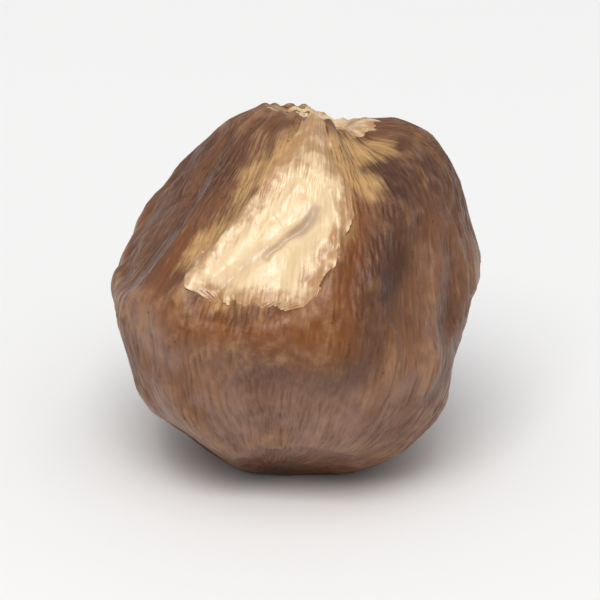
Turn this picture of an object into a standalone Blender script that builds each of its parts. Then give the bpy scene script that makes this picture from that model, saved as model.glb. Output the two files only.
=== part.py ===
"""One dried korarima seed: a blunt-cornered grain, pressed flat where it grew against its neighbours.

Metres, +Z up. The origin lies on the surface that the seed rests on, under the middle of its box.
The front is -Y. A place on the seed is given as an azimuth, from the front towards +X, and an
elevation, both in degrees and seen from its middle. Lengths inside the form are shares of the
radius of the round grain that the flats are pressed into.
"""

import math

import bmesh
import bpy
import numpy as np

# Driving dimensions, in metres
WIDTH = 0.0038
DEPTH = 0.0040
HEIGHT = 0.0037

# The underside is pressed in by this share, which makes the flat spot that the seed rests on
REST_CUT = 0.03

# Pressed flats: azimuth, elevation, and the distance from the middle
FLATS = {
    "bright shoulder": (-23, 43, 0.85),
    "dark cheek": (54, 20, 0.92),
    "belly": (-5, -16, 0.94),
    "lower front": (0, -50, 0.93),
    "left shoulder": (-58, 48, 0.825),
    "left slope": (-88, 40, 0.81),
    "left side": (-82, -15, 0.94),
    "right side": (86, -14, 0.93),
    "right back": (132, 12, 0.91),
    "lower left": (-58, -46, 0.95),
    "back": (176, 22, 0.90),
    "back left": (-138, 8, 0.92),
    "lower back": (165, -46, 0.92),
    "underside": (0, -90, 0.95),
}
FLAT_POWER = 32  # higher is sharper along the edges of the flats

# Where flats meet, the edge stands up a little and the flats themselves lie lower. A place belongs to a
# flat where that flat does at least FLAT_SHARE of the pressing, and to an edge where none does EDGE_SHARE.
EDGE_HEIGHT = 0.028
FLAT_SHARE = 0.86
EDGE_SHARE = 0.50

# The cleft runs over the crown, from low on the front to high on the back
CLEFT_FRONT = (17, 20)
CLEFT_BACK = (175, 30)
CLEFT_DEPTH = 0.09
CLEFT_HALF_WIDTH = 0.26  # over the crown
CLEFT_END_HALF_WIDTH = 0.10

# The scar is a round pit with a raised collar, in the cleft at the crown
SCAR_AT = (160, 70)
SCAR_RADIUS = 0.27
SCAR_PIT = 0.15
SCAR_COLLAR = 0.025
COLLAR_WIDTH = 0.08

# Swellings, and dents with a negative height: azimuth, elevation, radius, height
SWELLINGS = {
    "right hump": (111, 46, 0.52, 0.120),
    "lower right": (60, -42, 0.46, 0.012),
    "under the shoulder": (-16, -4, 0.32, -0.030),
    "cheek": (66, -8, 0.40, -0.020),
    "left": (-98, 4, 0.38, -0.030),
    "back": (172, 2, 0.42, -0.045),
    "back crown": (-160, 46, 0.34, -0.030),
    "right back": (128, 24, 0.30, -0.035),
}

# A slow uneven swell: each wave's turning along X, Y and Z, in radians for each unit, and its start
SWELL_DEPTH = 0.014
WAVES = ((3.1, 1.7, 0.0, 0.4), (0.0, 2.3, -2.9, 1.9), (2.2, 0.0, 2.7, -0.8))

# Low wrinkles, which run from the scar round to the far end and wander with the swell
WRINKLES = 11
WRINKLE_DEPTH = 0.010
WRINKLE_WANDER = 4.0

GRID = 28  # divisions of each of the six patches that the mesh is made of
COAT_COLOUR = (0.165, 0.078, 0.042, 1.0)
COAT_ROUGHNESS = 0.42


def direction(azimuth, elevation):
    """The unit vector of an azimuth and an elevation in degrees."""
    turn = math.radians(azimuth)
    rise = math.radians(elevation)
    return np.array((math.cos(rise) * math.sin(turn), -math.cos(rise) * math.cos(turn), math.sin(rise)))


def bump(distance, radius):
    """1 at the middle, 0 at the radius and beyond, smooth at both ends."""
    share = np.minimum(distance / radius, 1.0)
    return (1.0 - share * share) ** 2


def smooth_rise(value, low, high):
    """0 at low, 1 at high, smooth at both ends and held beyond them."""
    share = np.clip((value - low) / (high - low), 0.0, 1.0)
    return share * share * (3.0 - 2.0 * share)


def pressed_reach(ways):
    """How far the round grain with its pressed flats and its raised edges reaches in each direction."""
    total = np.ones(len(ways))
    most = np.zeros(len(ways))
    for azimuth, elevation, distance in FLATS.values():
        facing = np.maximum(ways @ direction(azimuth, elevation), 0.0)
        push = (facing / distance) ** FLAT_POWER
        total += push
        most = np.maximum(most, push)
    edge = smooth_rise(most / total, FLAT_SHARE, EDGE_SHARE) - 0.5
    return total ** (-1.0 / FLAT_POWER) + EDGE_HEIGHT * edge


def cleft_depth(ways):
    """How deep the cleft is: none at its two ends, most over the crown."""
    front = direction(*CLEFT_FRONT)
    back = direction(*CLEFT_BACK)
    across = np.cross(front, back)
    across /= np.linalg.norm(across)
    length = math.acos(front @ back)
    angle = np.arctan2(ways @ np.cross(across, front), ways @ front)
    fade = np.sin(math.pi * np.clip(angle / length, 0.0, 1.0))
    half_width = CLEFT_END_HALF_WIDTH + (CLEFT_HALF_WIDTH - CLEFT_END_HALF_WIDTH) * fade
    return CLEFT_DEPTH * fade * bump(np.abs(ways @ across), half_width)


def scar_relief(ways):
    """The pit of the scar and the collar round it."""
    distance = np.linalg.norm(ways - direction(*SCAR_AT), axis=1)
    collar = np.exp(-(((distance - SCAR_RADIUS) / COLLAR_WIDTH) ** 2))
    return SCAR_COLLAR * collar - SCAR_PIT * bump(distance, SCAR_RADIUS)


def swelling_height(ways):
    """The sum of the swellings and the dents."""
    total = np.zeros(len(ways))
    for azimuth, elevation, radius, height in SWELLINGS.values():
        total += height * bump(np.linalg.norm(ways - direction(azimuth, elevation), axis=1), radius)
    return total


def swell(ways):
    """A slow uneven wave over the whole seed, between -1 and 1."""
    total = np.zeros(len(ways))
    for x, y, z, start in WAVES:
        total += np.sin(ways @ (x, y, z) + start)
    return total / len(WAVES)


def wrinkle_relief(ways):
    """Low wrinkles that run from the scar to the far end, and the slow swell under them."""
    axis = direction(*SCAR_AT)
    side = np.cross(axis, (0.0, -1.0, 0.0))
    side /= np.linalg.norm(side)
    turn = np.arctan2(ways @ side, ways @ np.cross(side, axis))
    away = 1.0 - (ways @ axis) ** 2
    slow = swell(ways)
    ripple = np.cos(WRINKLES * turn + WRINKLE_WANDER * slow)
    return SWELL_DEPTH * slow + WRINKLE_DEPTH * away * ripple


def surface_points(ways):
    """The points of the seed's surface that lie in these directions from its middle."""
    reach = pressed_reach(ways) - cleft_depth(ways) + scar_relief(ways)
    reach += wrinkle_relief(ways) + swelling_height(ways)
    return ways * reach[:, None]


def fitted(points):
    """Press the underside flat, then bring the form to its width, depth and height."""
    points = points.copy()
    points[:, 2] = np.maximum(points[:, 2], points[:, 2].min() + REST_CUT)
    lowest = points.min(axis=0)
    share = (points - lowest) / (points.max(axis=0) - lowest)
    return (share - (0.5, 0.5, 0.0)) * (WIDTH, DEPTH, HEIGHT)


def coat_material():
    """The seed's coat: brown, with a satin surface."""
    material = bpy.data.materials.new("seed coat")
    material.use_nodes = True
    shader = material.node_tree.nodes["Principled BSDF"]
    shader.inputs["Base Color"].default_value = COAT_COLOUR
    shader.inputs["Roughness"].default_value = COAT_ROUGHNESS
    shader.inputs["Metallic"].default_value = 0.0
    return material


def round_grain():
    """A ball as a bmesh, of six square patches with nearly even cells, and its vertices' directions."""
    body = bmesh.new()
    bmesh.ops.create_cube(body, size=2.0)
    bmesh.ops.subdivide_edges(body, edges=body.edges[:], cuts=GRID - 1, use_grid_fill=True)
    ways = np.tan(np.array([vertex.co[:] for vertex in body.verts]) * (math.pi / 4))
    return body, ways / np.linalg.norm(ways, axis=1)[:, None]


def make_seed():
    """The seed, one closed body."""
    body, ways = round_grain()
    for vertex, point in zip(body.verts, fitted(surface_points(ways))):
        vertex.co = point
    mesh = bpy.data.meshes.new("seed")
    body.to_mesh(mesh)
    body.free()
    mesh.shade_smooth()
    mesh.materials.append(coat_material())
    seed = bpy.data.objects.new("seed", mesh)
    bpy.context.scene.collection.objects.link(seed)
    return seed


def clear_scene():
    """Take away what the scene holds at the start."""
    for thing in list(bpy.data.objects):
        bpy.data.objects.remove(thing, do_unlink=True)


clear_scene()
make_seed()
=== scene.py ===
"""Looks of one dried korarima seed: its lined brown coat, bright shoulder, cleft, pale scar and skin remains.

Everything is in metres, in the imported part's frame: +Z up, the seed standing on z = 0, its front towards -Y.
Inside the form, lengths are shares of the radius of the round grain that the seed's flats are pressed into.
"""

import logging
import math
from dataclasses import dataclass, field
from enum import Enum

import bpy
import numpy as np
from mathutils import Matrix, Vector, noise


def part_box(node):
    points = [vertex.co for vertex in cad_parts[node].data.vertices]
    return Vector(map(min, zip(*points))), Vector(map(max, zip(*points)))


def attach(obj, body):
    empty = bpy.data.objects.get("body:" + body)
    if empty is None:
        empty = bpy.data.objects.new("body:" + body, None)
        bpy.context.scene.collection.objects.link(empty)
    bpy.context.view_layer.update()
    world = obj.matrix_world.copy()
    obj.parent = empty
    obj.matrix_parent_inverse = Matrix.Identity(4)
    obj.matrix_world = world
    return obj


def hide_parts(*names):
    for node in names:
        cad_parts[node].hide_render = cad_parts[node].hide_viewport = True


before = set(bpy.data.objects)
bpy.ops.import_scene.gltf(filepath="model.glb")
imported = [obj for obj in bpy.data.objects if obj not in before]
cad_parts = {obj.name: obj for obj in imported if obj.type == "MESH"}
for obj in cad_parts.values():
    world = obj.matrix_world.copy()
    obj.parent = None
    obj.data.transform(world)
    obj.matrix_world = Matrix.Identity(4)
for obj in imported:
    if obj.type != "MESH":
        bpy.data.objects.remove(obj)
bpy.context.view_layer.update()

LOG = logging.getLogger("korarima_seed")
MM = 0.001
FULL_TURN = 2 * math.pi
NOISE_GAIN = 1.6  # brings the noise near the range from -1 to 1
MIX_INPUTS = (0, 6, 7)  # the Mix node's share and its two colours
MIX_RESULT = 2  # its mixed colour

Array = np.ndarray
Colour = tuple[float, float, float]
Point = tuple[float, float, float]
Socket = bpy.types.NodeSocket


class Mark(Enum):
    """What a mesh carries at each vertex for its finish: tones, the grain's coordinates, and its relief."""

    AMBER = "amber"
    DARK = "dark"
    PALE = "pale"
    # dust on the coat, together with painted bounce light on its lower parts
    DUST_AND_BOUNCE = "dust_and_bounce"
    GRAIN = "grain"
    RIDGE = "ridge"
    # painted shade in the coat's hollows
    PAINTED_HOLLOW_SHADE = "painted_hollow_shade"
    SCAR = "scar"
    FOLD = "fold"
    RIM = "rim"


TONES = (Mark.AMBER, Mark.DARK, Mark.PALE, Mark.DUST_AND_BOUNCE)


def bump(distance: Array, radius: Array | float) -> Array:
    """A smooth hill.

    Args:
        distance: how far each place is from the hill's middle.
        radius: where the hill ends.

    Returns:
        1 at the middle, falling to 0 at the radius and staying there.
    """
    share = np.minimum(distance / radius, 1.0)
    return (1.0 - share * share) ** 2


def ring(distance: Array, radius: float, width: float) -> Array:
    """A smooth ring: 1 at the radius, fading on both sides over the width."""
    return np.exp(-(((distance - radius) / width) ** 2))


def step(value: Array, low: float, high: float) -> Array:
    """A smooth rise from 0 at low to 1 at high.

    Args:
        value: the numbers to grade.
        low: where the rise begins.
        high: where it ends. It may be below low, for a fall.

    Returns:
        The graded numbers, from 0 to 1.
    """
    share = np.clip((value - low) / (high - low), 0.0, 1.0)
    return share * share * (3.0 - 2.0 * share)


def unit(vector: Array) -> Array:
    """The vector at length 1."""
    return vector / np.linalg.norm(vector)


@dataclass(frozen=True)
class Pattern:
    """Smooth random values over places, the same in each run.

    Attributes:
        seed: shifts the values, so that two patterns differ.
        fineness: features for each unit of length, all ways or along X, Y and Z.
        octaves: how many layers it has, each twice as fine as the one before.
        roughness: the weight of each layer against the one before.
    """

    seed: float
    fineness: float | Point = 1.0
    octaves: int = 3
    roughness: float = 0.5

    def over(self, places: Array, shift: Array | float = 0.0) -> Array:
        """The values at some places.

        Args:
            places: points, one a row.
            shift: is added to the places once the fineness has scaled them.

        Returns:
            Values of about -1 to 1, one for each place.
        """
        scaled = places * self.fineness + shift
        total = np.zeros(len(scaled))
        weight, weights = 1.0, 0.0
        for octave in range(self.octaves):
            layer = (scaled * 2.0**octave + self.seed * (octave + 1)).tolist()
            total += weight * np.fromiter((noise.noise(place) for place in layer), float, len(layer))
            weights += weight
            weight *= self.roughness
        return total / weights * NOISE_GAIN

    def along(self, course: Array) -> Array:
        """The values along a line, for a torn edge."""
        none = np.zeros(len(course))
        return self.over(np.stack((course, none, none), axis=1))


@dataclass(frozen=True)
class Wander:
    """A slow random shift of places, which makes outlines and courses uneven.

    Attributes:
        amount: how far places shift.
        fineness: features for each radius.
        seeds: what makes the shifts along X, Y and Z differ.
        octaves: how many layers the shift has.
        roughness: the weight of each layer against the one before.
    """

    amount: float
    fineness: float
    seeds: tuple[float, float, float]
    octaves: int = 3
    roughness: float = 0.5

    def shifted(self, ways: Array) -> Array:
        """The directions with the shift added."""
        patterns = [Pattern(seed, self.fineness, self.octaves, self.roughness) for seed in self.seeds]
        return ways + self.amount * np.stack([pattern.over(ways) for pattern in patterns], axis=1)


@dataclass(frozen=True)
class Place:
    """A place on the seed as seen from its middle.

    Attributes:
        azimuth: degrees from the front towards +X.
        elevation: degrees above the level.
    """

    azimuth: float
    elevation: float

    def way(self) -> Array:
        """The unit vector from the seed's middle to this place.

        Returns:
            Its X, Y and Z.
        """
        turn, rise = math.radians(self.azimuth), math.radians(self.elevation)
        level = math.cos(rise)
        return np.array((level * math.sin(turn), -level * math.cos(turn), math.sin(rise)))

    def distance(self, ways: Array) -> Array:
        """How far each direction is from this one, as a straight line on the unit ball."""
        return np.linalg.norm(ways - self.way(), axis=1)


@dataclass(frozen=True)
class Flat:
    """A flat that a neighbouring seed pressed into the grain, at a distance from the middle."""

    at: Place
    distance: float


@dataclass(frozen=True)
class Swelling:
    """A low round hill on the grain, or a dent where its height is negative."""

    at: Place
    radius: float
    height: float


@dataclass(frozen=True)
class Cleft:
    """The groove that runs over the crown, from low on the front to high on the back.

    Attributes:
        front: where it starts.
        back: where it ends.
        depth: over the crown, fading to none at both ends.
        half_width: over the crown.
        end_half_width: at both ends.
    """

    front: Place = Place(17, 20)
    back: Place = Place(175, 30)
    depth: float = 0.09
    half_width: float = 0.26
    end_half_width: float = 0.10

    def share(self, ways: Array) -> Array:
        """Where the cleft is.

        Args:
            ways: unit directions from the middle.

        Returns:
            How much of its full depth there is in each, from 0 to 1.
        """
        front, back = self.front.way(), self.back.way()
        across = unit(np.cross(front, back))
        length = math.acos(front @ back)
        angle = np.arctan2(ways @ np.cross(across, front), ways @ front)
        fade = np.sin(math.pi * np.clip(angle / length, 0.0, 1.0))
        half_width = self.end_half_width + (self.half_width - self.end_half_width) * fade
        return fade * bump(np.abs(ways @ across), half_width)


@dataclass(frozen=True)
class Scar:
    """The round pit where the seed was attached, with a raised collar.

    Attributes:
        at: its middle.
        radius: of the pit, up to the collar's crest.
        pit: its depth.
        collar: the collar's height.
        collar_width: how wide the collar is.
        notch_height: of the collar's notches.
        notches: their pattern, round the scar and outwards.
        inner_ring: the radius of the ring inside the pit, as a share of the pit's.
        inner_height: the height of that ring.
        inner_width: how wide it is.
        mouth: the radius of the hole in the pit's middle, as a share of the pit's.
        mouth_depth: the depth of that hole.
    """

    at: Place = Place(160, 70)
    radius: float = 0.27
    pit: float = 0.15
    collar: float = 0.025
    collar_width: float = 0.08
    notch_height: float = 0.018
    notches: Pattern = Pattern(61.7, (4.0, 4.0, 9.0))
    inner_ring: float = 0.62
    inner_height: float = 0.012
    inner_width: float = 0.022
    mouth: float = 0.34
    mouth_depth: float = 0.035

    def relief(self, ways: Array) -> Array:
        """The collar and the smooth pit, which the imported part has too.

        Args:
            ways: unit directions from the middle.

        Returns:
            Their height in each, below 0 in the pit.
        """
        distance = self.at.distance(ways)
        collar = ring(distance, self.radius, self.collar_width)
        return self.collar * collar - self.pit * bump(distance, self.radius)

    def detail(self, ways: Array, turn: Array) -> Array:
        """The collar's notches and the pit's ring and mouth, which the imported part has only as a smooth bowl.

        Args:
            ways: unit directions from the middle.
            turn: the turn of each round the scar, in radians.

        Returns:
            Heights to add to the form's reach.
        """
        distance = self.at.distance(ways)
        inner = ring(distance, self.inner_ring * self.radius, self.inner_width)
        notches = self.notches.over(np.stack((np.cos(turn), np.sin(turn), distance), axis=1))
        collar = ring(distance, self.radius, 0.8 * self.collar_width)
        mouth = bump(distance, self.mouth * self.radius)
        return self.inner_height * inner + self.notch_height * collar * notches - self.mouth_depth * mouth


@dataclass(frozen=True)
class Band:
    """A strip on the seed along the shortest way between two places, strongest along its middle."""

    start: Place
    end: Place
    half_width: float
    amount: float = 1.0

    def share(self, ways: Array) -> Array:
        """How much of the band there is in each direction.

        Args:
            ways: directions from the seed's middle.

        Returns:
            The band's amount along its middle, falling to 0 at its half width.
        """
        first, last = self.start.way(), self.end.way()
        chord = last - first
        along = np.clip((ways - first) @ chord / max(chord @ chord, 1e-9), 0.0, 1.0)
        nearest = first + along[:, None] * chord
        nearest /= np.linalg.norm(nearest, axis=1)[:, None]
        return self.amount * bump(np.linalg.norm(ways - nearest, axis=1), self.half_width)


class FlatName(Enum):
    """The pressed flats, by where they lie."""

    BRIGHT_SHOULDER = Flat(Place(-23, 43), 0.85)
    DARK_CHEEK = Flat(Place(54, 20), 0.92)
    BELLY = Flat(Place(-5, -16), 0.94)
    LOWER_FRONT = Flat(Place(0, -50), 0.93)
    LEFT_SHOULDER = Flat(Place(-58, 48), 0.825)
    LEFT_SLOPE = Flat(Place(-88, 40), 0.81)
    LEFT_SIDE = Flat(Place(-82, -15), 0.94)
    RIGHT_SIDE = Flat(Place(86, -14), 0.93)
    RIGHT_BACK = Flat(Place(132, 12), 0.91)
    LOWER_LEFT = Flat(Place(-58, -46), 0.95)
    BACK = Flat(Place(176, 22), 0.90)
    BACK_LEFT = Flat(Place(-138, 8), 0.92)
    LOWER_BACK = Flat(Place(165, -46), 0.92)
    UNDERSIDE = Flat(Place(0, -90), 0.95)


class SwellingName(Enum):
    """The swellings and dents, by where they lie."""

    RIGHT_HUMP = Swelling(Place(111, 46), 0.52, 0.120)
    LOWER_RIGHT = Swelling(Place(60, -42), 0.46, 0.012)
    UNDER_THE_SHOULDER = Swelling(Place(-16, -4), 0.32, -0.030)
    CHEEK = Swelling(Place(66, -8), 0.40, -0.020)
    LEFT = Swelling(Place(-98, 4), 0.38, -0.030)
    BACK = Swelling(Place(172, 2), 0.42, -0.045)
    BACK_CROWN = Swelling(Place(-160, 46), 0.34, -0.030)
    RIGHT_BACK = Swelling(Place(128, 24), 0.30, -0.035)


@dataclass(frozen=True)
class Grain:
    """The form of the seed without its fine relief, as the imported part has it.

    Attributes:
        flat_power: how sharp the flats' edges are.
        edge_height: how far those edges stand above the flats.
        flat_share: the share of the pressing at which a place belongs to a flat.
        edge_share: the share of the pressing at which a place belongs to an edge.
        cleft: the groove over the crown.
        scar: the pit at the cleft's back.
        swell_depth: the height of the slow uneven swell.
        waves: each wave's turning along X, Y and Z, and its start.
        wrinkles: how many low wrinkles run from the scar to the far end.
        wrinkle_depth: their height.
        wrinkle_wander: how far they wander with the swell, in radians.
        rest_cut: how much of the underside is pressed flat.
    """

    flat_power: float = 32
    edge_height: float = 0.028
    flat_share: float = 0.86
    edge_share: float = 0.50
    cleft: Cleft = Cleft()
    scar: Scar = Scar()
    swell_depth: float = 0.014
    waves: tuple[tuple[float, float, float, float], ...] = (
        (3.1, 1.7, 0.0, 0.4),
        (0.0, 2.3, -2.9, 1.9),
        (2.2, 0.0, 2.7, -0.8),
    )
    wrinkles: int = 11
    wrinkle_depth: float = 0.010
    wrinkle_wander: float = 4.0
    rest_cut: float = 0.03

    def pressed(self, ways: Array) -> tuple[Array, Array]:
        """The round grain with its pressed flats.

        Args:
            ways: unit directions from the middle.

        Returns:
            How far the grain reaches, and the share of the pressing that the nearest flat does.
        """
        total = np.ones(len(ways))
        most = np.zeros(len(ways))
        for name in FlatName:
            facing = np.maximum(ways @ name.value.at.way(), 0.0)
            push = (facing / name.value.distance) ** self.flat_power
            total += push
            most = np.maximum(most, push)
        return total ** (-1.0 / self.flat_power), most / total

    def swellings(self, ways: Array) -> Array:
        """The sum of the swellings and dents.

        Args:
            ways: unit directions from the middle.

        Returns:
            Their height in each direction.
        """
        total = np.zeros(len(ways))
        for name in SwellingName:
            hill = name.value
            total += hill.height * bump(hill.at.distance(ways), hill.radius)
        return total

    def swell(self, ways: Array) -> Array:
        """A slow uneven wave over the whole seed.

        Args:
            ways: unit directions from the middle.

        Returns:
            Its height in each direction, between -1 and 1.
        """
        total = np.zeros(len(ways))
        for x, y, z, start in self.waves:
            total += np.sin(ways @ (x, y, z) + start)
        return total / len(self.waves)

    def axes(self) -> tuple[Array, Array, Array]:
        """The directions that places round the scar are measured from.

        Returns:
            The scar's own direction, and two across it.
        """
        axis = self.scar.at.way()
        side = unit(np.cross(axis, (0.0, -1.0, 0.0)))
        return axis, np.cross(side, axis), side

    def turn(self, ways: Array) -> Array:
        """The turn of each direction round the scar's axis, in radians."""
        _, ahead, side = self.axes()
        return np.arctan2(ways @ side, ways @ ahead)

    def reach(self, ways: Array) -> Array:
        """The whole form.

        Args:
            ways: unit directions from the middle.

        Returns:
            How far the seed's surface is from its middle in each.
        """
        slow = self.swell(ways)
        away = 1.0 - (ways @ self.scar.at.way()) ** 2
        ripple = np.cos(self.wrinkles * self.turn(ways) + self.wrinkle_wander * slow)
        pressed, owned = self.pressed(ways)
        reach = pressed + self.edge_height * (step(owned, self.flat_share, self.edge_share) - 0.5)
        reach += self.scar.relief(ways) - self.cleft.depth * self.cleft.share(ways)
        reach += self.swell_depth * slow + self.wrinkle_depth * away * ripple
        return reach + self.swellings(ways)


@dataclass
class SeedBody:
    """The grain at its real size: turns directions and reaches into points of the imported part's frame.

    Attributes:
        grain: the form.
        survey: columns and rings of the grid that the form is measured on.
        crowding: how much closer together the rings are at the scar.
        crowded_angle: how far from the scar that fades, in radians.
        samples: steps in which the rings' crowding is summed up.
        floor: the height at which the underside is pressed flat, inside the form.
        lowest: the lowest corner of the form's box.
        low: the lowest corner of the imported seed's box, in metres.
        scale: metres for each radius, along X, Y and Z.
    """

    grain: Grain = field(default_factory=Grain)
    survey: int = 260
    crowding: float = 1.2
    crowded_angle: float = 0.42
    samples: int = 4001
    floor: float = field(init=False)
    lowest: Array = field(init=False)
    low: Array = field(init=False)
    scale: Array = field(init=False)

    def __post_init__(self) -> None:
        """Measure the form once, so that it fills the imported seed's box exactly."""
        ways = self.ways(*self.grid(self.survey, self.survey))
        points = ways * self.grain.reach(ways)[:, None]
        self.floor = points[:, 2].min() + self.grain.rest_cut
        points[:, 2] = np.maximum(points[:, 2], self.floor)
        self.lowest = points.min(axis=0)
        low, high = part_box("seed")
        self.low = np.array(low)
        self.scale = (np.array(high) - self.low) / (points.max(axis=0) - self.lowest)

    def grid(self, turns: int, rings: int) -> tuple[Array, Array]:
        """Points on rings about the scar, the scar itself first and the far end last.

        Args:
            turns: the columns round the scar.
            rings: the rings between the scar and the far end, without those two ends.

        Returns:
            The turn of each point round the scar and its angle from the scar, in radians.
        """
        fine = np.linspace(0.0, math.pi, self.samples)
        density = 1.0 + self.crowding * np.exp(-((fine / self.crowded_angle) ** 2))
        filled = np.concatenate(([0.0], np.cumsum((density[1:] + density[:-1]) / 2)))
        angles = np.interp(np.linspace(0.0, filled[-1], rings + 2), filled, fine)[1:-1]
        angle = np.concatenate(([0.0], np.repeat(angles, turns), [math.pi]))
        turn = np.concatenate(([0.0], np.tile(np.arange(turns) * (FULL_TURN / turns), rings), [0.0]))
        return turn, angle

    def ways(self, turn: Array, angle: Array) -> Array:
        """Directions from places about the scar.

        Args:
            turn: turns round the scar's axis, in radians.
            angle: angles away from the scar, in radians.

        Returns:
            The unit directions from the middle.
        """
        axis, ahead, side = self.grain.axes()
        round_axis = np.outer(np.cos(turn), ahead) + np.outer(np.sin(turn), side)
        return np.cos(angle)[:, None] * axis + np.sin(angle)[:, None] * round_axis

    def place(self, ways: Array, reach: Array) -> Array:
        """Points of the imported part's frame, none below the surface it rests on.

        Args:
            ways: unit directions from the middle.
            reach: how far each point is from the middle.

        Returns:
            The points in metres.
        """
        points = ways * reach[:, None]
        points[:, 2] = np.maximum(points[:, 2], self.floor)
        return self.low + (points - self.lowest) * self.scale


@dataclass(frozen=True)
class Mottle:
    """Cloudy unevenness in a finish.

    Attributes:
        scale: features for each millimetre.
        detail: how many finer layers it has.
        low: the noise value that gives the bottom.
        high: the noise value that gives the top.
        bottom: the least that it gives.
        top: the most that it gives.
        roughness: the weight of each finer layer against the one before.
    """

    scale: float
    detail: float
    low: float
    high: float
    bottom: float = 0.0
    top: float = 1.0
    roughness: float = 0.55


class Nodes:
    """A material's node tree, with short ways to add and join nodes."""

    def __init__(self, name: str) -> None:
        """Make a material with one shader.

        Args:
            name: the material's name.
        """
        self.material = bpy.data.materials.new(name)
        self.material.use_nodes = True
        self.tree = self.material.node_tree
        self.shader = self.tree.nodes["Principled BSDF"]

    def add(self, kind: str, inputs: dict | None = None, **settings: object) -> bpy.types.Node:
        """Add one node.

        Args:
            kind: the node's type name without its prefix.
            inputs: values or sockets for its inputs, by name or number.
            settings: the node's own settings.

        Returns:
            The node.
        """
        node = self.tree.nodes.new("ShaderNode" + kind)
        for key, value in settings.items():
            setattr(node, key, value)
        for key, value in (inputs or {}).items():
            self.feed(node.inputs[key], value)
        return node

    def feed(self, socket: Socket, value: object) -> None:
        """Give a socket a value, or a link where the value is a socket.

        Args:
            socket: what is fed.
            value: a socket, a number or a colour.
        """
        if isinstance(value, Socket):
            self.tree.links.new(value, socket)
        else:
            socket.default_value = value

    def dress(self, **values: object) -> bpy.types.Material:
        """Set the shader's inputs.

        Args:
            values: values or sockets by the input's name, with _ for a space.

        Returns:
            The finished material.
        """
        for key, value in values.items():
            self.feed(self.shader.inputs[key.replace("_", " ")], value)
        return self.material

    def in_mm(self) -> Socket:
        """The object's own coordinates in millimetres."""
        place = self.add("TexCoord").outputs["Object"]
        return self.add("VectorMath", {0: place, "Scale": 1 / MM}, operation="SCALE").outputs[0]

    def mark(self, mark: Mark) -> Socket:
        """What the mesh carries at each vertex: a number, or the grain's coordinates."""
        node = self.add("Attribute", attribute_name=mark.value)
        return node.outputs["Vector" if mark is Mark.GRAIN else "Fac"]

    def noise(self, place: Socket, scale: float, detail: float = 3.0, roughness: float = 0.55) -> Socket:
        """Smooth noise of about 0.5, with a feature every 1 / scale."""
        inputs = {"Vector": place, "Scale": scale, "Detail": detail, "Roughness": roughness}
        return self.add("TexNoise", inputs).outputs["Fac"]

    def cells(self, place: Socket, scale: float) -> Socket:
        """The distance to the nearest of scattered points, about one to each 1 / scale."""
        return self.add("TexVoronoi", {"Vector": place, "Scale": scale}).outputs["Distance"]

    def graded(self, value: Socket, low: float, high: float, bottom: float = 0.0, top: float = 1.0) -> Socket:
        """The value brought from low and high to bottom and top, smooth at both ends and held beyond them."""
        inputs = {"Value": value, "From Min": low, "From Max": high, "To Min": bottom, "To Max": top}
        return self.add("MapRange", inputs, interpolation_type="SMOOTHSTEP").outputs["Result"]

    def mottled(self, place: Socket, mottle: Mottle) -> Socket:
        """The unevenness at each place."""
        clouds = self.noise(place, mottle.scale, mottle.detail, mottle.roughness)
        return self.graded(clouds, mottle.low, mottle.high, mottle.bottom, mottle.top)

    def times(self, first: Socket, second: Socket | float) -> Socket:
        """One number times another."""
        return self.add("Math", {0: first, 1: second}, operation="MULTIPLY").outputs[0]

    def plus(self, first: Socket, second: Socket | float) -> Socket:
        """One number plus another."""
        return self.add("Math", {0: first, 1: second}, operation="ADD").outputs[0]

    def colours(self, share: Socket, low: Socket | Colour, high: Socket | Colour) -> Socket:
        """A colour between two.

        Args:
            share: how much of the second colour there is.
            low: the first colour.
            high: the second colour.

        Returns:
            The mixed colour.
        """
        node = self.add("Mix", data_type="RGBA")
        for number, value in zip(MIX_INPUTS, (share, low, high)):
            self.feed(node.inputs[number], (*value, 1.0) if isinstance(value, tuple) else value)
        return node.outputs[MIX_RESULT]

    def bumped(self, height: Socket, distance: float) -> Socket:
        """A normal that stands for relief of this height, in metres where the height value is 1."""
        inputs = {"Height": height, "Distance": distance, "Strength": 1.0}
        return self.add("Bump", inputs).outputs["Normal"]


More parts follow.
